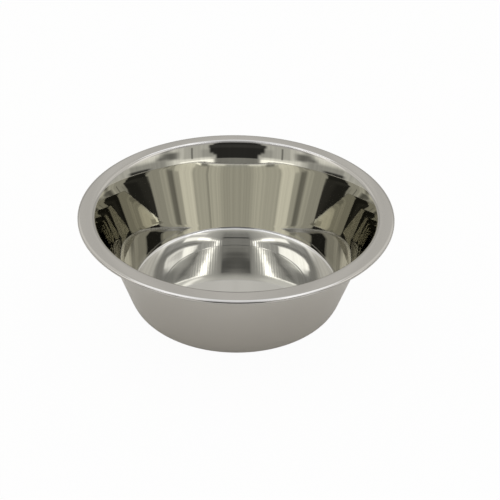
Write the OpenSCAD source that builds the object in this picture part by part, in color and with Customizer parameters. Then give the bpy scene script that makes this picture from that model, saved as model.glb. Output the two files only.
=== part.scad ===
// Stainless steel feeding bowl, drawn and rolled from one disc of sheet.
// The origin is the centre of the bottom, at the level that the bowl stands on, with +Z up.
// Every surface is turned about Z. One path follows the food side of the sheet from the middle
// of the base to the end of the rolled edge, and the other side runs one sheet thickness behind it.

/* [Overall] */
// Diameter over the rolled edge
bowl_d = 210; // [160:1:280]
// Height from the flat base to the top of the rim
bowl_h = 67.2; // [50:0.1:90]
// Thickness of the sheet
sheet_t = 0.6; // [0.4:0.05:0.9]

/* [Rim] */
// Width of the rim, from the crown of its inner bend to the outside of the rolled edge
rim_w = 8.2; // [6:0.1:14]
// Angle at which the rim falls towards the rolled edge, in degrees
rim_droop = 1.5; // [0:0.1:6]
// Outside radius of the bend between the rim and the neck
bend_r = 3.5; // [2:0.1:6]
// Outside diameter of the rolled edge
roll_d = 2.4; // [2:0.1:3.6]
// Angle that the edge is rolled through, in degrees
roll_turn = 270; // [180:5:285]

/* [Wall] */
// Angle of the straight wall from the vertical, in degrees
wall_taper = 16.7; // [8:0.1:24]
// Radius of the flared neck below the bend
neck_r = 70; // [40:1:120]
// Angle that the neck opens through above the straight wall, in degrees
neck_turn = 10; // [4:0.5:16]
// Inside radius of the corner between the wall and the base
corner_r = 2.5; // [2:0.1:8]

/* [Base] */
// Width of the shallow rise, from the edge of the flat middle to the foot of the wall
rise_w = 15.7; // [6:0.1:24]
// Radius of the shallow rise
rise_r = 145; // [60:1:240]
// Distance of the ring line from the edge of the flat middle that the bowl stands on
line_inset = 9.1; // [4:0.1:20]
// Width of the ring line
line_w = 2.4; // [1.2:0.1:3]
// Depth of the ring line
line_depth = 0.02; // [0.02:0.01:0.1]

/* [Drawing] */
// Furthest that a facet may lie from the round stretch that it stands for
facet_gap = 0.006; // [0.002:0.001:0.02]
// Steps in one full turn about the axis
turn_steps = 180; // [60:4:240]

/* [Hidden] */

steel = [0.69, 0.68, 0.65];
quarter = 90;
half_turn = 180;
full_turn = 360;

// Unit direction at an angle, in the plane that holds the axis
function heading(angle) = [cos(angle), sin(angle)];

// Facets that a stretch needs, so that none strays past facet_gap
function facets(radius, turn) = ceil(abs(turn) / (2 * acos(1 - facet_gap / radius)));

// Each round stretch is [centre, radius on the food side, radius behind, first angle, last angle]
function centre_of(bend) = bend[0];
function turn_of(bend) = bend[4] - bend[3];
function steps_of(bend) = facets(max(bend[1], bend[2]), turn_of(bend));
function angles_of(bend) = [for (i = [0:steps_of(bend)]) bend[3] + turn_of(bend) * i / steps_of(bend)];
function food_side(bend) = [for (angle = angles_of(bend)) centre_of(bend) + bend[1] * heading(angle)];
function back_side(bend) = [for (angle = angles_of(bend)) centre_of(bend) + bend[2] * heading(angle)];

// A stretch that is round over the food side has its centre behind the sheet, and a hollow one before it
function crown(centre, radius, first, last) = [centre, radius, radius - sheet_t, first, last];
function hollow(centre, radius, first, last) = [centre, radius, radius + sheet_t, first, last];

// Rim: the bend and the rolled edge touch one straight line, which is the top of the rim
rim_r = bowl_d / 2;
roll_r = roll_d / 2;
rim_normal = heading(quarter - rim_droop);
bend_c = [rim_r - rim_w, bowl_h - bend_r];
roll_x = rim_r - roll_r;
rim_line = bend_c * rim_normal + bend_r - roll_r;
roll_c = [roll_x, (rim_line - roll_x * rim_normal.x) / rim_normal.y];
roll_start = quarter - rim_droop;

// Neck: it meets the bend above and the straight wall below without a crease
wall_angle = half_turn - wall_taper;
neck_angle = wall_angle - neck_turn;
neck_c = bend_c + (bend_r - neck_r) * heading(neck_angle);

// Rise: it leaves the flat middle without a crease, and ends short of the foot of the straight wall
wall_line = neck_c * heading(wall_angle) + neck_r;
foot_x = (sheet_t * sin(wall_taper) - wall_line) / cos(wall_taper);
flat_r = foot_x - rise_w;
rise_c = [flat_r, sheet_t + rise_r];

// Corner: it touches the rise below and the straight wall above
corner_gap = rise_c * heading(wall_angle) - wall_line - corner_r;
corner_run = sqrt((rise_r - corner_r) ^ 2 - corner_gap ^ 2);
corner_c = rise_c - corner_gap * heading(wall_angle) + corner_run * heading(wall_angle + quarter);
rise_turn = atan2(corner_c.x - rise_c.x, rise_c.y - corner_c.y);

// Ring line: a shallow groove in the food side only, which turns down, up and down again
line_x = flat_r - line_inset;
line_turn = 2 * atan(2 * line_depth / line_w);
line_r = line_w / 4 / sin(line_turn);
line_in_c = [line_x - line_w / 2, sheet_t - line_r];
line_mid_c = [line_x, sheet_t - line_depth + line_r];
line_out_c = [line_x + line_w / 2, sheet_t - line_r];

bottom = full_turn - quarter;
line_bends = [
    crown(line_in_c, line_r, quarter, quarter - line_turn),
    hollow(line_mid_c, line_r, bottom - line_turn, bottom + line_turn),
    crown(line_out_c, line_r, quarter + line_turn, quarter)
];

// The round stretches of the sheet, from the flat middle outwards
sheet_bends = [
    hollow(rise_c, rise_r, bottom, bottom + rise_turn),
    hollow(corner_c, corner_r, bottom + rise_turn, full_turn - wall_taper),
    crown(neck_c, neck_r, wall_angle, neck_angle),
    crown(bend_c, bend_r, neck_angle, roll_start),
    crown(roll_c, roll_r, roll_start, roll_start - roll_turn)
];

food_path = concat([[0, sheet_t]], [for (bend = concat(line_bends, sheet_bends)) each food_side(bend)]);
back_path = concat([[0, 0]], [for (bend = sheet_bends) each back_side(bend)]);
last_point = len(back_path) - 1;
sheet_outline = concat(food_path, [for (i = [0:last_point]) back_path[last_point - i]]);

// The whole bowl: base, wall, neck, rim and rolled edge are one unbroken sheet
module bowl() {
    color(steel)
        rotate_extrude($fn = turn_steps)
            polygon(sheet_outline);
}

bowl();
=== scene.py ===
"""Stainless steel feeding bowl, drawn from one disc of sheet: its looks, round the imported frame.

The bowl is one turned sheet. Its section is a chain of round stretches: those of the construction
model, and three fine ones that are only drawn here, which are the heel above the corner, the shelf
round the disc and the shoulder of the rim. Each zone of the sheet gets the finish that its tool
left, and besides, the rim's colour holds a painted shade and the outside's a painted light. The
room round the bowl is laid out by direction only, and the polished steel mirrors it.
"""
import logging
import math
from dataclasses import dataclass
from enum import Enum

import bmesh
import bpy
from mathutils import Matrix, Vector


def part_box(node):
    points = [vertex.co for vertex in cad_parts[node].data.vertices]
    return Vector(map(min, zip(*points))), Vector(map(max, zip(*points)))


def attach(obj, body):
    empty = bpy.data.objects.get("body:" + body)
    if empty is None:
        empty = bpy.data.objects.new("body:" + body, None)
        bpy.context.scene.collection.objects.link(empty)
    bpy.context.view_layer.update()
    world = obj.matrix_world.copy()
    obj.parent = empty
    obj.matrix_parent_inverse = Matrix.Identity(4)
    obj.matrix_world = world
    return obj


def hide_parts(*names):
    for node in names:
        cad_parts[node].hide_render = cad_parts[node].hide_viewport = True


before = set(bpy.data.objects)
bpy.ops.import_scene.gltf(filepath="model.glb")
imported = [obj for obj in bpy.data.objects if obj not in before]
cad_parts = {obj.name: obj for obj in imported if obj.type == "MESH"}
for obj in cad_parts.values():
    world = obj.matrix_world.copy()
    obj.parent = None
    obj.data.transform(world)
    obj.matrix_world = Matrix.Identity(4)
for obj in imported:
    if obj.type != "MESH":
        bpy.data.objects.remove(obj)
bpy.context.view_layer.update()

Tree = bpy.types.NodeTree
Socket = bpy.types.NodeSocket

LOG = logging.getLogger("bowl")
MM = 0.001
PHOTO_WIDTH = 500
WHITE = "#FFFFFF"

QUARTER = 90.0
HALF_TURN = 180.0
FULL_TURN = 360.0
BOTTOM = FULL_TURN - QUARTER

# A mix node takes its share at input 0. Numbers are at inputs 2 and 3 and come out at 0, and
# colours are at inputs 6 and 7 and come out at 2.
MIX = "ShaderNodeMix"
MATH = "ShaderNodeMath"


def linear(code: str) -> tuple[float, float, float, float]:
    """Turn an sRGB hex colour into a linear one.

    Args:
        code: The colour as six hex digits after a hash sign.

    Returns:
        Linear red, green, blue and full alpha.
    """
    channels = [int(code[i:i + 2], 16) / 255 for i in (1, 3, 5)]
    values = [c / 12.92 if c <= 0.04045 else ((c + 0.055) / 1.055) ** 2.4 for c in channels]
    return (values[0], values[1], values[2], 1.0)


def add_node(
    tree: Tree,
    kind: str,
    settings: dict[str, object] | None = None,
    inputs: dict[str | int, object] | None = None,
) -> bpy.types.Node:
    """Add one node to a tree, with its settings, input values and links.

    Args:
        tree: The tree that the node goes into.
        kind: Blender's name for the type of node.
        settings: Properties of the node by name.
        inputs: A value for each input, or the output socket that feeds it.

    Returns:
        The new node.
    """
    node = tree.nodes.new(kind)
    for name, value in (settings or {}).items():
        setattr(node, name, value)
    for key, value in (inputs or {}).items():
        if isinstance(value, Socket):
            tree.links.new(value, node.inputs[key])
        else:
            node.inputs[key].default_value = value
    return node


def heading(angle: float) -> Vector:
    """Return the unit direction at an angle in degrees, in the plane that holds the axis."""
    return Vector((math.cos(math.radians(angle)), math.sin(math.radians(angle))))


@dataclass(frozen=True)
class PolishedSteel:
    """Stainless steel, grade 304, with the finish that polishing wheels leave on a turning bowl.

    The wheel leaves hair lines round the axis, and its chatter makes straight reflections a little
    uneven. Spacings and sizes are in millimetres and slopes in degrees. Real hair lines are about
    a tenth of a millimetre apart, which is too fine to show, so they are drawn one to two
    millimetres apart. They stretch each highlight across them, which is a quarter of a full turn
    from the way they run. The haze is the roughness that wiping adds, in patches that come in
    between the low and the high level of their noise.
    """

    name: str
    colour: str
    roughness: float
    anisotropy: float
    line_spacing: float
    line_slope: float
    chatter_spacing: float
    chatter_slope: float
    haze: float
    stretch_turn: float = 0.25
    patch_size: float = 18.0
    patch_detail: float = 3.0
    patch_low: float = 0.35
    patch_high: float = 0.7

    def material(self) -> bpy.types.Material:
        """Build the material.

        Returns:
            The material, ready to go into a slot.
        """
        material = bpy.data.materials.new(self.name)
        material.use_nodes = True
        tree = material.node_tree
        tree.nodes.clear()
        place = add_node(tree, "ShaderNodeTexCoord").outputs["Object"]
        across = self.across_lines(tree, place)
        lined = self.ripple(tree, across, self.line_spacing, self.line_slope)
        bumped = self.ripple(tree, across, self.chatter_spacing, self.chatter_slope, lined)
        tangent = add_node(tree, "ShaderNodeTangent", {"direction_type": "RADIAL", "axis": "Z"})
        shader = add_node(tree, "ShaderNodeBsdfPrincipled", None, {
            "Base Color": linear(self.colour),
            "Metallic": 1.0,
            "Roughness": self.smears(tree, place),
            "Anisotropic": self.anisotropy,
            "Anisotropic Rotation": self.stretch_turn,
            "Tangent": tangent.outputs[0],
            "Normal": bumped,
        })
        add_node(tree, "ShaderNodeOutputMaterial", None, {"Surface": shader.outputs[0]})
        return material

    def across_lines(self, tree: Tree, place: Socket) -> Socket:
        """Measure how far a point lies along the section, which crosses the lines squarely.

        Args:
            tree: The material's tree.
            place: The point in metres.

        Returns:
            Distance from the axis plus height, in millimetres.
        """
        x, y, z = add_node(tree, "ShaderNodeSeparateXYZ", None, {0: place}).outputs
        flat = add_node(tree, "ShaderNodeCombineXYZ", None, {0: x, 1: y})
        radius = add_node(tree, "ShaderNodeVectorMath", {"operation": "LENGTH"}, {
            0: flat.outputs[0],
        })
        metres = add_node(tree, MATH, {"operation": "ADD"}, {0: radius.outputs["Value"], 1: z})
        return add_node(tree, MATH, {"operation": "DIVIDE"}, {
            0: metres.outputs[0],
            1: MM,
        }).outputs[0]

    def ripple(
        self, tree: Tree, across: Socket, spacing: float, slope: float, normal: Socket | None = None
    ) -> Socket:
        """Tilt the surface a little, in rings round the axis.

        Args:
            tree: The material's tree.
            across: The distance across the rings, in millimetres.
            spacing: The rings' spacing, in millimetres.
            slope: About how far the surface tilts, in degrees.
            normal: The surface's normal so far, if it is tilted already.

        Returns:
            The tilted normal.
        """
        noise = add_node(tree, "ShaderNodeTexNoise", {"noise_dimensions": "1D"}, {
            "W": across,
            "Scale": 1 / spacing,
        })
        inputs = {
            "Distance": math.tan(math.radians(slope)) * spacing * MM,
            "Height": noise.outputs[0],
        }
        if normal is not None:
            inputs["Normal"] = normal
        return add_node(tree, "ShaderNodeBump", None, inputs).outputs[0]

    def smears(self, tree: Tree, place: Socket) -> Socket:
        """Vary the roughness in soft patches, as a wiped surface has.

        Args:
            tree: The material's tree.
            place: The point in metres.

        Returns:
            The roughness.
        """
        noise = add_node(tree, "ShaderNodeTexNoise", None, {
            "Vector": place,
            "Scale": 1 / (self.patch_size * MM),
            "Detail": self.patch_detail,
        })
        return add_node(tree, "ShaderNodeMapRange", None, {
            "Value": noise.outputs[0],
            "From Min": self.patch_low,
            "From Max": self.patch_high,
            "To Min": self.roughness,
            "To Max": self.roughness + self.haze,
        }).outputs[0]


# Mirror polish, turned: the base outside the ring line, where the wheel reaches easily. To the eye
# it is a clean, neutral mirror with hardly a line in it.
BASE_FINISH = PolishedSteel(
    name="mirror_polished_steel_base",
    colour="#D0CECB",
    roughness=0.03,
    anisotropy=0.4,
    line_spacing=1.6,
    line_slope=0.02,
    chatter_spacing=14.0,
    chatter_slope=0.02,
    haze=0.01,
)

# Pad polish: the disc in the middle of the base keeps the marks of a flat pad, so lamps draw out
# into streaks that run towards the axis.
DISC_FINISH = PolishedSteel(
    name="pad_polished_steel_disc",
    colour="#D0CECA",
    roughness=0.04,
    anisotropy=0.6,
    line_spacing=1.3,
    line_slope=0.04,
    chatter_spacing=9.0,
    chatter_slope=0.02,
    haze=0.01,
)

# Mirror polish on the drawn wall and neck: deep drawing leaves them a shade warmer, which shows
# more with each mirroring from side to side. Upright reflections stay straight, and level ones
# ripple along the polishing lines.
WALL_FINISH = PolishedSteel(
    name="mirror_polished_steel_wall",
    colour="#CECCC2",
    roughness=0.02,
    anisotropy=0.4,
    line_spacing=1.8,
    line_slope=0.03,
    chatter_spacing=16.0,
    chatter_slope=0.05,
    haze=0.01,
)

# Soft polish: the rim is handled most, so it is a hazier mirror, and the light line along it has
# soft edges. Its colour is a shade darker than the other steel's, which is painted shade that dims
# what the rim mirrors.
RIM_FINISH_AND_PAINTED_SHADE = PolishedSteel(
    name="soft_polished_steel_rim_and_painted_shade",
    # painted shade: a darker colour than the other steel's
    colour="#C6C3BF",
    roughness=0.08,
    anisotropy=0.4,
    line_spacing=1.6,
    line_slope=0.05,
    chatter_spacing=12.0,
    chatter_slope=0.05,
    haze=0.03,
)

# Buffed: the outside gets the same wheel with fewer passes, so it shows the room as soft bands
# without edges. Its colour is a shade lighter than the other steel's, which is painted light that
# lifts what the outside mirrors.
OUTSIDE_FINISH_AND_PAINTED_LIGHT = PolishedSteel(
    name="buffed_steel_outside_and_painted_light",
    # painted light: a lighter colour than the other steel's
    colour="#DBD8D3",
    roughness=0.06,
    anisotropy=0.5,
    line_spacing=1.6,
    line_slope=0.08,
    chatter_spacing=20.0,
    chatter_slope=0.08,
    haze=0.03,
)


class Zone(Enum):
    """The parts of the sheet that differ in finish, by material slot."""

    DISC = 0
    BASE = 1
    WALL = 2
    RIM = 3
    OUTSIDE = 4


FINISHES: dict[Zone, PolishedSteel] = {
    Zone.DISC: DISC_FINISH,
    Zone.BASE: BASE_FINISH,
    Zone.WALL: WALL_FINISH,
    Zone.RIM: RIM_FINISH_AND_PAINTED_SHADE,
    Zone.OUTSIDE: OUTSIDE_FINISH_AND_PAINTED_LIGHT,
}


@dataclass(frozen=True)
class Stretch:
    """One round stretch of the sheet's section.

    It turns about its centre from the first angle to the last, in degrees. The two sides of the
    sheet have a radius each, in millimetres. The step is the largest turn between two points of
    the food side.
    """

    centre: Vector
    food_radius: float
    back_radius: float
    first: float
    last: float
    zone: Zone
    step: float
    fewest_parts: int = 2

    def points(self, radius: float, coarseness: float = 1.0) -> list[Vector]:
        """List the points along one side.

        Args:
            radius: The radius of that side.
            coarseness: How many steps of the food side make one step here.

        Returns:
            The points from the first angle to the last.
        """
        turn = self.last - self.first
        parts = max(self.fewest_parts, math.ceil(abs(turn) / (self.step * coarseness)))
        angles = [self.first + turn * i / parts for i in range(parts + 1)]
        return [self.centre + radius * heading(angle) for angle in angles]


@dataclass
class DrawnBowl:
    """The whole bowl: one sheet, drawn into the base, wall and neck, and rolled under at the rim.

    Lengths are in millimetres, and turns and steps in degrees. Wide curves get the fine step,
    because the mirror would show their facets.
    """

    diameter: float
    height: float
    sheet: float = 0.6
    rim_width: float = 8.2
    rim_droop: float = 1.5
    bend_radius: float = 3.5
    shoulder_radius: float = 5.0
    shoulder_turn: float = 22.0
    roll_diameter: float = 2.4
    roll_turn: float = 270.0
    wall_taper: float = 16.7
    neck_radius: float = 70.0
    neck_turn: float = 10.0
    corner_radius: float = 2.5
    heel_radius: float = 25.0
    heel_turn: float = 8.0
    rise_width: float = 13.7
    rise_radius: float = 130.0
    shelf_fall: float = 0.8
    line_inset: float = 9.0
    line_width: float = 1.4
    line_depth: float = 0.006
    fine_step: float = 0.5
    bend_step: float = 3.0
    roll_step: float = 6.0
    back_coarseness: float = 2.0
    turn_steps: int = 384
    same_point: float = 0.001

    def crown(
        self, centre: Vector, radius: float, first: float, last: float, zone: Zone, step: float
    ) -> Stretch:
        """Return a stretch that is round over the food side."""
        return Stretch(centre, radius, radius - self.sheet, first, last, zone, step)

    def hollow(
        self, centre: Vector, radius: float, first: float, last: float, zone: Zone, step: float
    ) -> Stretch:
        """Return a stretch that is hollow on the food side."""
        return Stretch(centre, radius, radius + self.sheet, first, last, zone, step)

    @property
    def bend_centre(self) -> Vector:
        """Centre of the bend between the rim and the neck."""
        return Vector((self.diameter / 2 - self.rim_width, self.height - self.bend_radius))

    @property
    def roll_centre(self) -> Vector:
        """Centre of the rolled edge, a shoulder's drop below the line along the top of the rim.

        Returns:
            Distance from the axis and height.
        """
        roll_radius = self.roll_diameter / 2
        normal = heading(QUARTER - self.rim_droop)
        shoulder_share = 1 - math.cos(math.radians(self.shoulder_turn))
        drop = (self.shoulder_radius - roll_radius) * shoulder_share
        line = self.bend_centre @ normal + self.bend_radius - roll_radius - drop
        across = self.diameter / 2 - roll_radius
        return Vector((across, (line - across * normal.x) / normal.y))

    def rim_stretches(self) -> list[Stretch]:
        """List the neck, the bend, the rim's shoulder and the rolled edge.

        Returns:
            The stretches from the wall outwards.
        """
        wall_angle = HALF_TURN - self.wall_taper
        neck_angle = wall_angle - self.neck_turn
        neck_offset = (self.bend_radius - self.neck_radius) * heading(neck_angle)
        neck = self.bend_centre + neck_offset
        rim_angle = QUARTER - self.rim_droop
        roll_start = rim_angle - self.shoulder_turn
        roll_end = rim_angle - self.roll_turn
        roll = self.roll_centre
        roll_radius = self.roll_diameter / 2
        shoulder = roll + (roll_radius - self.shoulder_radius) * heading(roll_start)
        fine, bent, rolled = self.fine_step, self.bend_step, self.roll_step
        return [
            self.crown(neck, self.neck_radius, wall_angle, neck_angle, Zone.WALL, fine),
            self.crown(self.bend_centre, self.bend_radius, neck_angle, rim_angle, Zone.RIM, bent),
            self.crown(shoulder, self.shoulder_radius, rim_angle, roll_start, Zone.RIM, bent),
            self.crown(roll, roll_radius, roll_start, roll_end, Zone.RIM, rolled),
        ]

    def base_stretches(self, neck: Stretch) -> list[Stretch]:
        """List the rising floor, the corner and the heel above it, which eases into the wall.

        Args:
            neck: The stretch that the straight wall runs up to.

        Returns:
            The stretches from the flat middle outwards.
        """
        wall_line = neck.centre @ heading(neck.first) + neck.food_radius
        taper = math.radians(self.wall_taper)
        foot_radius = (self.sheet * math.sin(taper) - wall_line) / math.cos(taper)
        rise = Vector((foot_radius - self.rise_width, self.sheet + self.rise_radius))
        corner, rise_turn = self.corner_between(rise, wall_line)
        rise_end = BOTTOM + rise_turn
        heel_end = FULL_TURN - self.wall_taper
        heel_start = heel_end - self.heel_turn
        heel = corner - (self.heel_radius - self.corner_radius) * heading(heel_start)
        fine, bent = self.fine_step, self.bend_step
        return [
            self.hollow(rise, self.rise_radius, BOTTOM, rise_end, Zone.BASE, fine),
            self.hollow(corner, self.corner_radius, rise_end, heel_start, Zone.BASE, bent),
            self.hollow(heel, self.heel_radius, heel_start, heel_end, Zone.WALL, fine),
        ]

    def corner_between(self, rise: Vector, wall_line: float) -> tuple[Vector, float]:
        """Place the corner so that it touches the rising floor, and its heel the straight wall.

        Args:
            rise: The centre of the rising floor.
            wall_line: The wall's distance from the axis point, along its normal.

        Returns:
            The corner's centre and the turn of the rising floor, in degrees.
        """
        normal = heading(HALF_TURN - self.wall_taper)
        along = Vector((-normal.y, normal.x))
        heel_share = 1 - math.cos(math.radians(self.heel_turn))
        heel_reach = (self.heel_radius - self.corner_radius) * heel_share
        gap = rise @ normal - wall_line - self.corner_radius - heel_reach
        run = math.sqrt((self.rise_radius - self.corner_radius) ** 2 - gap ** 2)
        corner = rise - gap * normal + run * along
        return corner, math.degrees(math.atan2(corner.x - rise.x, rise.y - corner.y))

    def middle_stretches(self, rise: Stretch) -> list[Stretch]:
        """List the ring line and the shelf round it, which are pressed into the food side only.

        The shelf falls a little from the ring line to the lowest circle of the base, where the
        rise starts, so the disc inside the line stands a tenth of a millimetre proud.

        Args:
            rise: The stretch that the shelf runs into.

        Returns:
            The stretches from the disc to the rise.
        """
        turn = math.degrees(2 * math.atan(2 * self.line_depth / self.line_width))
        radius = self.line_width / 4 / math.sin(math.radians(turn))
        fall = math.radians(self.shelf_fall)
        shelf_angle = BOTTOM - self.shelf_fall
        shelf_end = rise.centre + rise.food_radius * heading(shelf_angle)
        middle = rise.centre.x - self.line_inset
        run = shelf_end.x - middle - self.line_width / 2 - radius * math.sin(fall)
        top = shelf_end.y + run * math.tan(fall) + radius * (1 - math.cos(fall))
        inner = Vector((middle - self.line_width / 2, top - radius))
        groove = Vector((middle, top - self.line_depth + radius))
        outer = Vector((middle + self.line_width / 2, top - radius))
        outer_end = QUARTER - self.shelf_fall
        fine = self.fine_step
        return [
            self.crown(inner, radius, QUARTER, QUARTER - turn, Zone.DISC, fine),
            self.hollow(groove, radius, BOTTOM - turn, BOTTOM + turn, Zone.BASE, fine),
            self.crown(outer, radius, QUARTER + turn, outer_end, Zone.BASE, fine),
            self.hollow(rise.centre, rise.food_radius, shelf_angle, BOTTOM, Zone.BASE, fine),
        ]

    def section(self) -> list[tuple[Vector, Zone]]:
        """List the sheet's outline, from the axis along the food side and back behind it.

        Returns:
            The points, each with the zone of what leads to it.
        """
        rim = self.rim_stretches()
        base = self.base_stretches(rim[0])
        middle = self.middle_stretches(base[0])
        food = [(Vector((0, middle[0].centre.y + middle[0].food_radius)), Zone.DISC)]
        back = [(Vector((0, 0)), Zone.OUTSIDE)]
        for stretch in middle + base + rim:
            food += [(point, stretch.zone) for point in stretch.points(stretch.food_radius)]
        for stretch in base + rim:
            points = stretch.points(stretch.back_radius, self.back_coarseness)
            back += [(point, Zone.OUTSIDE) for point in points]
        return self.without_repeats(food) + self.without_repeats(back)[::-1]

    def without_repeats(self, path: list[tuple[Vector, Zone]]) -> list[tuple[Vector, Zone]]:
        """Drop points that repeat the one before them.

        Args:
            path: Points with their zones.

        Returns:
            The points that are left.
        """
        kept = path[:1]
        for point, zone in path[1:]:
            if (point - kept[-1][0]).length > self.same_point:
                kept.append((point, zone))
        return kept

    def build(self) -> bpy.types.Object:
        """Turn the section about the axis and dress each zone.

        Returns:
            The bowl's object.
        """
        outline = self.section()
        turned = bmesh.new()
        rings = [self.ring(turned, point) for point, _ in outline]
        for i, (_, zone) in enumerate(outline[1:]):
            is_cut_edge = zone is Zone.OUTSIDE and outline[i][1] is not Zone.OUTSIDE
            if is_cut_edge:
                self.join(turned, rings[i], rings[i + 1], Zone.RIM, smooth=False)
            else:
                self.join(turned, rings[i], rings[i + 1], zone, smooth=True)
        bmesh.ops.recalc_face_normals(turned, faces=turned.faces)
        mesh = bpy.data.meshes.new("bowl_sheet")
        turned.to_mesh(mesh)
        turned.free()
        self.dress(mesh)
        bowl = bpy.data.objects.new("bowl_sheet", mesh)
        bpy.context.scene.collection.objects.link(bowl)
        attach(bowl, "root")
        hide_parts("bowl")
        return bowl

    def ring(self, turned: bmesh.types.BMesh, point: Vector) -> list[bmesh.types.BMVert]:
        """Turn one point of the section about the axis.

        Args:
            turned: The mesh in the making.
            point: Distance from the axis and height.

        Returns:
            The ring's corners, or one corner where the point is on the axis.
        """
        radius, height = point.x * MM, point.y * MM
        if radius <= 0:
            return [turned.verts.new((0, 0, height))]
        angles = [2 * math.pi * i / self.turn_steps for i in range(self.turn_steps)]
        return [
            turned.verts.new((radius * math.cos(angle), radius * math.sin(angle), height))
            for angle in angles
        ]

    def join(
        self,
        turned: bmesh.types.BMesh,
        inner: list[bmesh.types.BMVert],
        outer: list[bmesh.types.BMVert],
        zone: Zone,
        smooth: bool,
    ) -> None:
        """Fill the faces between two neighbouring rings.

        Args:
            turned: The mesh in the making.
            inner: The first ring.
            outer: The next ring.
            zone: The zone that the faces belong to.
            smooth: Whether light runs smoothly over the faces.
        """
        for i in range(self.turn_steps):
            j = (i + 1) % self.turn_steps
            if len(inner) == 1:
                corners = [inner[0], outer[i], outer[j]]
            elif len(outer) == 1:
                corners = [inner[i], outer[0], inner[j]]
            else:
                corners = [inner[i], outer[i], outer[j], inner[j]]
            face = turned.faces.new(corners)
            face.material_index = zone.value
            face.smooth = smooth
            if not smooth:
                for edge in face.edges:
                    edge.smooth = False

    def dress(self, mesh: bpy.types.Mesh) -> None:
        """Give the mesh one material slot for each zone, in the zones' order."""
        for zone in Zone:
            mesh.materials.append(FINISHES[zone].material())


class Side(Enum):
    """Which side of the room a panel is on, as the camera sees the room."""

    LEFT = -1
    BOTH = 0
    RIGHT = 1


@dataclass(frozen=True)
class Panel:
    """A plain panel of the studio, by its bearing from the camera and its height, in degrees.

    It reaches from the near bearing to the far one, and from the low height to the high one. Each
    edge is the width over which these limits fade. The height of a hung panel is measured from the
    arch that the string of lamps makes. Brightness 1 is white.
    """

    near: float
    far: float
    edge: float
    low: float
    high: float
    top_edge: float
    brightness: float
    side: Side = Side.BOTH
    hung: bool = False


@dataclass(frozen=True)
class Angles:
    """The angles of a direction in the room, in degrees, as sockets of the world's tree.

    The bearing is counted from the camera, for each side. Above is the height over the arch.
    """

    bearings: dict[Side, Socket]
    height: Socket
    above: Socket


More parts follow.
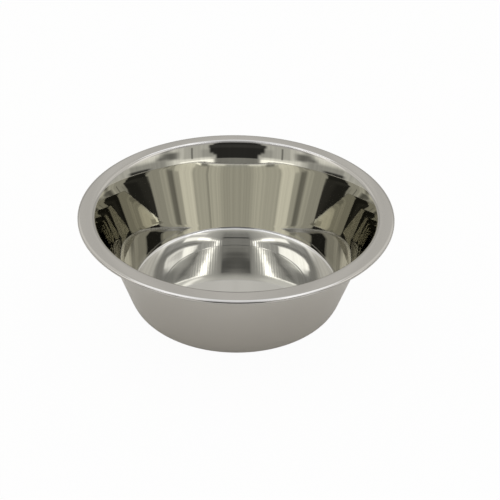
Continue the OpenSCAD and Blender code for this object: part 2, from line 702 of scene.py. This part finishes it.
@dataclass
class Studio:
    """A light tent round the bowl, with dark openings, a string of lamps and a plain pale floor.

    Bearings, heights and spacings are in degrees. The string of lamps makes an arch on each side,
    which is highest at the arch's bearing and falls by the square of the distance from it. The
    floor's radius is in millimetres. The shares say how much of the floor's look is plain white,
    for the camera and for mirrored rays. The mirrorings are the most that light is followed for,
    because the sides of the bowl mirror each other many times.
    """

    tent: float = 0.85
    arch_height: float = 67.6
    arch_bearing: float = 60.0
    arch_fall: float = 0.0024
    lamp_spacing: float = 3.8
    lamp_colour: str = "#FAFCFF"
    cloth_colour: str = "#FFFEF9"
    cloth_top: float = 54.0
    cloth_top_edge: float = 12.0
    fold_spacing: float = 4.0
    fold_depth: float = 0.4
    fold_detail: float = 3.0
    fold_roughness: float = 0.6
    floor_colour: str = "#EDEBE8"
    floor_radius: float = 2500.0
    floor_sides: int = 96
    camera_share: float = 0.965
    mirror_share: float = 0.02
    mirrorings: int = 8
    panels: tuple[Panel, ...] = (
        # Tent cloth in upright strips: lit beside the bowl, greyer behind it, a dark pole in front
        Panel(-47, 47, 4, -5, 62, 10, 0.58),
        Panel(46, 60, 5, 12, 62, 8, 0.72),
        Panel(49, 62, 5, 39, 57, 5, 0.45),
        Panel(20, 31, 5, 9, 19, 5, 0.45),
        Panel(59, 71, 5, 18, 36, 12, 0.30),
        Panel(59, 73, 4, 35, 58, 6, 0.66),
        Panel(70, 82, 6, 20, 40, 14, 0.70),
        Panel(72, 84, 5, 34, 60, 6, 1.10),
        Panel(80, 103, 4, 24, 60, 6, 1.26),
        Panel(103, 131, 5, 16, 62, 10, 0.82),
        Panel(130, 152, 6, 16, 62, 10, 0.90),
        Panel(126.5, 130.5, 2, 20, 54, 6, 0.60, Side.LEFT),
        Panel(112, 127, 5, 51, 61, 4, 0.45),
        Panel(151, 210, 12, 16, 70, 12, 0.70),
        Panel(140, 220, 20, -5, 21, 8, 0.45),
        Panel(86, 106, 6, 46, 60, 6, 1.35),
        # Cloth and lit patches under the string of lamps
        Panel(-118, 118, 10, 57, 66.6, 3, 0.62),
        Panel(20, 37, 4, 60, 66, 2, 1.15),
        Panel(76, 110, 5, -9, -4.6, 0.6, 1.22, Side.RIGHT, hung=True),
        Panel(64, 110, 5, -5.6, -4.6, 0.5, 1.70, Side.RIGHT, hung=True),
        Panel(61, 84, 4, -6.3, -4.8, 0.6, 2.50, Side.RIGHT, hung=True),
        Panel(68, 114, 5, -9.2, -4.5, 0.6, 2.45, Side.LEFT, hung=True),
        # Ceiling above the string
        Panel(-30, 142, 20, 0.4, 60, 1.6, 1.24, hung=True),
        Panel(130, 210, 16, 58, 97, 5, 1.24),
        Panel(126, 158, 10, 55, 73, 4, 1.65),
        Panel(-181, 181, 1, 80, 97, 5, 0.97),
        Panel(60, 124, 14, 70.6, 74.2, 2.5, 2.20, Side.RIGHT),
        Panel(108, 154, 10, 66.9, 69.2, 1.2, 1.90),
        # Hood over the camera, darker towards its lip
        Panel(-60, 60, 36, 62, 83, 10, 0.86),
        Panel(-38, 38, 24, 62, 79, 8, 0.66),
        Panel(-27, 27, 14, 62, 74, 4, 0.44),
        Panel(-23, 23, 5, 68.0, 69.4, 0.6, 0.15),
        # Lit strip behind the lamps and the dark rail below them
        Panel(26, 48, 6, -0.9, 0.5, 0.7, 1.20, hung=True),
        Panel(45, 96, 6, -1.1, 1.1, 0.9, 2.50, hung=True),
        Panel(58, 90, 10, -3.45, -2.95, 0.4, 0.25, hung=True),
        Panel(92, 124, 10, -4.2, -2.8, 1.0, 0.40, hung=True),
        # Opening that the camera looks through
        Panel(-23, 21, 5, 29, 56, 8, 0.34, Side.RIGHT),
        Panel(-18, 18, 3, 6, 42, 2.5, 0.03),
        Panel(-20.5, 20.5, 3, 11.5, 32, 4, 0.03),
        Panel(-23.5, 23.5, 3, 14, 24, 4, 0.03),
        Panel(-25, 24, 4, 20.5, 24.5, 2.5, 0.05, Side.RIGHT),
        # Stands and the far edge of the table, low in front
        Panel(21, 53, 6, 3, 8.5, 3, 1.05),
        Panel(20, 50, 4, 3.2, 5.6, 1.2, 1.70),
        Panel(-19, 19, 6, -3, 6.2, 2, 0.27),
        Panel(38, 39.6, 1, 8, 22, 2, 0.22),
        Panel(51, 71, 8, 10, 18.5, 4, 0.19),
        Panel(67, 92, 12, 15, 25, 6, 1.02),
        Panel(60, 100, 10, -3, 11.5, 5, 0.40),
        Panel(78, 100, 8, -3, 5.5, 2, 0.05),
        Panel(100, 181, 8, -3, 16, 6, 0.56),
    )
    # The string of lamps: the lamps themselves, and the soft glow above and below them
    lamps: tuple[Panel, ...] = (
        Panel(22, 70, 8, -1.0, 0.3, 0.8, 2.0, hung=True),
        Panel(22, 70, 8, -2.2, 1.8, 1.6, 0.6, hung=True),
    )
    # What lies below the tent, in every direction
    ground: Panel = Panel(-181, 181, 1, -91, -0.8, 2.5, 0.45)

    def build(self) -> None:
        """Make the surroundings and the floor, and set how light is followed and shown."""
        self.build_room()
        self.build_floor()
        bpy.context.scene.view_settings.view_transform = "Standard"
        bpy.context.scene.cycles.glossy_bounces = self.mirrorings

    def build_room(self) -> None:
        """Make the world: white to the camera, and the tent to everything else."""
        world = bpy.data.worlds.new("studio_tent")
        bpy.context.scene.world = world
        world.use_nodes = True
        tree = world.node_tree
        tree.nodes.clear()
        angles = self.measure(tree)
        light: Socket | float = self.tent
        for panel in self.panels:
            light = self.cover(tree, angles, panel, light)
        light = add_node(tree, MATH, {"operation": "MULTIPLY"}, {
            0: light,
            1: self.folds(tree, angles.bearings[Side.BOTH]),
        }).outputs[0]
        light = self.add_lamps(tree, angles, light)
        light = self.cover(tree, angles, self.ground, light)
        seen = add_node(tree, "ShaderNodeLightPath").outputs["Is Camera Ray"]
        background = add_node(tree, "ShaderNodeBackground", None, {
            "Color": self.tint(tree, angles.height, seen),
            "Strength": add_node(tree, MIX, None, {0: seen, 2: light, 3: 1.0}).outputs[0],
        })
        add_node(tree, "ShaderNodeOutputWorld", None, {"Surface": background.outputs[0]})

    def measure(self, tree: Tree) -> Angles:
        """Work out the angles of the direction that the light comes from.

        Args:
            tree: The world's tree.

        Returns:
            The angles.
        """
        direction = add_node(tree, "ShaderNodeTexCoord").outputs["Generated"]
        x, y, z = add_node(tree, "ShaderNodeSeparateXYZ", None, {0: direction}).outputs
        towards = add_node(tree, MATH, {"operation": "MULTIPLY"}, {0: y, 1: -1.0}).outputs[0]
        turn = add_node(tree, MATH, {"operation": "ARCTAN2"}, {0: x, 1: towards}).outputs[0]
        right = add_node(tree, MATH, {"operation": "DEGREES"}, {0: turn}).outputs[0]
        left = add_node(tree, MATH, {"operation": "MULTIPLY"}, {0: right, 1: -1.0}).outputs[0]
        aside = add_node(tree, MATH, {"operation": "ABSOLUTE"}, {0: right}).outputs[0]
        slope = add_node(tree, MATH, {"operation": "ARCSINE"}, {0: z}).outputs[0]
        height = add_node(tree, MATH, {"operation": "DEGREES"}, {0: slope}).outputs[0]
        past = add_node(tree, MATH, {"operation": "SUBTRACT"}, {0: aside, 1: self.arch_bearing})
        past = add_node(tree, MATH, {"operation": "ABSOLUTE"}, {0: past.outputs[0]})
        fall = add_node(tree, MATH, {"operation": "POWER"}, {0: past.outputs[0], 1: 2.0})
        top = add_node(tree, MATH, {"operation": "SUBTRACT"}, {0: height, 1: self.arch_height})
        above = add_node(tree, MATH, {"operation": "MULTIPLY_ADD"}, {
            0: fall.outputs[0],
            1: self.arch_fall,
            2: top.outputs[0],
        })
        bearings = {Side.LEFT: left, Side.BOTH: aside, Side.RIGHT: right}
        return Angles(bearings, height, above.outputs[0])

    def between(self, tree: Tree, angle: Socket, low: float, high: float, edge: float) -> Socket:
        """Make a soft-edged mask of the angles between two limits.

        Args:
            tree: The world's tree.
            angle: The angle that is tested.
            low: The lower limit.
            high: The upper limit.
            edge: The width over which the mask fades.

        Returns:
            1 inside and 0 outside.
        """
        half = (high - low) / 2
        offset = add_node(tree, MATH, {"operation": "SUBTRACT"}, {0: angle, 1: low + half})
        offset = add_node(tree, MATH, {"operation": "ABSOLUTE"}, {0: offset.outputs[0]})
        return add_node(tree, "ShaderNodeMapRange", {"interpolation_type": "SMOOTHSTEP"}, {
            "Value": offset.outputs[0],
            "From Min": half + edge / 2,
            "From Max": half - edge / 2,
        }).outputs[0]

    def mask(self, tree: Tree, angles: Angles, panel: Panel) -> Socket:
        """Make the mask of one panel.

        Args:
            tree: The world's tree.
            angles: The angles of the direction.
            panel: The panel.

        Returns:
            1 on the panel and 0 beside it.
        """
        bearing = angles.bearings[panel.side]
        height = angles.above if panel.hung else angles.height
        return add_node(tree, MATH, {"operation": "MULTIPLY"}, {
            0: self.between(tree, bearing, panel.near, panel.far, panel.edge),
            1: self.between(tree, height, panel.low, panel.high, panel.top_edge),
        }).outputs[0]

    def cover(self, tree: Tree, angles: Angles, panel: Panel, light: Socket | float) -> Socket:
        """Put one panel in front of all that is there so far.

        Args:
            tree: The world's tree.
            angles: The angles of the direction.
            panel: The panel.
            light: The brightness so far.

        Returns:
            The brightness with the panel.
        """
        inputs = {0: self.mask(tree, angles, panel), 2: light, 3: panel.brightness}
        return add_node(tree, MIX, None, inputs).outputs[0]

    def folds(self, tree: Tree, aside: Socket) -> Socket:
        """Make the upright folds of the cloth, which draw fine streaks in the wall's reflections.

        Args:
            tree: The world's tree.
            aside: The bearing without its side.

        Returns:
            A brightness factor near 1.
        """
        noise = add_node(tree, "ShaderNodeTexNoise", {"noise_dimensions": "1D"}, {
            "W": aside,
            "Scale": 1 / self.fold_spacing,
            "Detail": self.fold_detail,
            "Roughness": self.fold_roughness,
        })
        return add_node(tree, MATH, {"operation": "MULTIPLY_ADD"}, {
            0: noise.outputs[0],
            1: self.fold_depth,
            2: 1 - self.fold_depth / 2,
        }).outputs[0]

    def add_lamps(self, tree: Tree, angles: Angles, light: Socket) -> Socket:
        """Add the string of small lamps, with its glow, as beads along the arch.

        Args:
            tree: The world's tree.
            angles: The angles of the direction.
            light: The brightness so far.

        Returns:
            The brightness with the lamps.
        """
        turn = add_node(tree, MATH, {"operation": "MULTIPLY"}, {
            0: angles.bearings[Side.BOTH],
            1: 2 * math.pi / self.lamp_spacing,
        })
        beat = add_node(tree, MATH, {"operation": "SINE"}, {0: turn.outputs[0]})
        beads = add_node(tree, MATH, {"operation": "MULTIPLY_ADD"}, {
            0: beat.outputs[0],
            1: 0.5,
            2: 0.5,
        })
        for lamp in self.lamps:
            lit = add_node(tree, MATH, {"operation": "MULTIPLY"}, {
                0: self.mask(tree, angles, lamp),
                1: beads.outputs[0],
            })
            light = add_node(tree, MATH, {"operation": "MULTIPLY_ADD"}, {
                0: lit.outputs[0],
                1: lamp.brightness,
                2: light,
            }).outputs[0]
        return light

    def tint(self, tree: Tree, height: Socket, seen: Socket) -> Socket:
        """Make the light a shade warm from the cloth and a shade cool from the lamps above it.

        Args:
            tree: The world's tree.
            height: The height of the direction.
            seen: 1 where the camera looks straight at the room, which then stays plain white.

        Returns:
            The light's colour.
        """
        cool = self.between(tree, height, self.cloth_top, HALF_TURN, self.cloth_top_edge)
        colours = {0: cool, 6: linear(self.cloth_colour), 7: linear(self.lamp_colour)}
        mixed = add_node(tree, MIX, {"data_type": "RGBA"}, colours).outputs[2]
        plain = {0: seen, 6: mixed, 7: linear(WHITE)}
        return add_node(tree, MIX, {"data_type": "RGBA"}, plain).outputs[2]

    def build_floor(self) -> None:
        """Make the floor, which keeps the bowl's shadow and reads as white to the camera."""
        mesh = bpy.data.meshes.new("studio_floor")
        disc = bmesh.new()
        radius = self.floor_radius * MM
        bmesh.ops.create_circle(disc, cap_ends=True, segments=self.floor_sides, radius=radius)
        disc.to_mesh(mesh)
        disc.free()
        mesh.materials.append(self.floor_material())
        floor = bpy.data.objects.new("studio_floor", mesh)
        bpy.context.scene.collection.objects.link(floor)

    def floor_material(self) -> bpy.types.Material:
        """Build the floor's matt paper, pale and without a pattern.

        The photograph's floor is clipped to white, while the steel shows a natural one, so most of
        the lift to white is for camera rays, and metal and glass get a small share of it.

        Returns:
            The material.
        """
        material = bpy.data.materials.new("matt_paper_floor")
        material.use_nodes = True
        tree = material.node_tree
        tree.nodes.clear()
        rays = add_node(tree, "ShaderNodeLightPath").outputs
        mirrored = add_node(tree, MATH, {"operation": "MAXIMUM"}, {
            0: rays["Is Glossy Ray"],
            1: rays["Is Transmission Ray"],
        })
        seen = add_node(tree, MATH, {"operation": "MULTIPLY"}, {
            0: rays["Is Camera Ray"],
            1: self.camera_share,
        })
        share = add_node(tree, MATH, {"operation": "MULTIPLY_ADD"}, {
            0: mirrored.outputs[0],
            1: self.mirror_share,
            2: seen.outputs[0],
        })
        paper = add_node(tree, "ShaderNodeBsdfDiffuse", None, {"Color": linear(self.floor_colour)})
        white = add_node(tree, "ShaderNodeEmission", None, {"Color": linear(WHITE)})
        mixed = add_node(tree, "ShaderNodeMixShader", None, {
            0: share.outputs[0],
            1: paper.outputs[0],
            2: white.outputs[0],
        })
        add_node(tree, "ShaderNodeOutputMaterial", None, {"Surface": mixed.outputs[0]})
        return material


@dataclass
class Viewpoint:
    """The camera that took the photograph, looking down on the rim from in front.

    The distance is in millimetres from the rolled edge's centre circle, and the angles are in
    degrees. The focal length is in pixels of the photograph, which makes a 61 mm lens on a sensor
    36 mm wide.
    """

    target_height: float
    distance: float = 570.0
    elevation: float = 31.58
    yaw: float = -0.934
    pitch: float = -2.860
    roll: float = -0.690
    focal_pixels: float = 850.0
    sensor: float = 36.0

    def build(self) -> bpy.types.Object:
        """Place the camera and make it the scene's own.

        Returns:
            The camera's object.
        """
        data = bpy.data.cameras.new("photo_camera")
        data.sensor_width = self.sensor
        data.lens = self.focal_pixels * self.sensor / PHOTO_WIDTH
        camera = bpy.data.objects.new("photo_camera", data)
        rise = math.radians(self.elevation)
        place = Vector((0, -math.cos(rise), math.sin(rise))) * self.distance
        place.z += self.target_height
        level = Matrix.Rotation(math.radians(QUARTER) - rise, 4, "X")
        turn = Matrix.Rotation(math.radians(self.yaw), 4, "Y")
        tilt = Matrix.Rotation(math.radians(self.pitch), 4, "X")
        lean = Matrix.Rotation(-math.radians(self.roll), 4, "Z")
        camera.matrix_world = Matrix.Translation(place * MM) @ level @ turn @ tilt @ lean
        bpy.context.scene.collection.objects.link(camera)
        bpy.context.scene.camera = camera
        return camera


def main() -> None:
    """Build the studio, the bowl and the camera in order, and report each one."""
    logging.basicConfig(level=logging.INFO, format="%(name)s: %(message)s")
    low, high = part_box("bowl")
    # The solid's box is a hair off round, so the nearer side keeps the drawn bowl inside it
    diameter = 2 * min(high[0], -low[0]) / MM
    bowl = DrawnBowl(diameter=diameter, height=(high[2] - low[2]) / MM)
    Studio().build()
    LOG.info("studio: tent, lamps and floor")
    piece = bowl.build()
    LOG.info("%s: %d faces, %.1f mm across, %.1f mm high", piece.name, len(piece.data.polygons),
             bowl.diameter, bowl.height)
    camera = Viewpoint(target_height=bowl.roll_centre.y).build()
    LOG.info("%s: lens %.1f mm", camera.name, camera.data.lens)


if __name__ == "__main__":
    main()
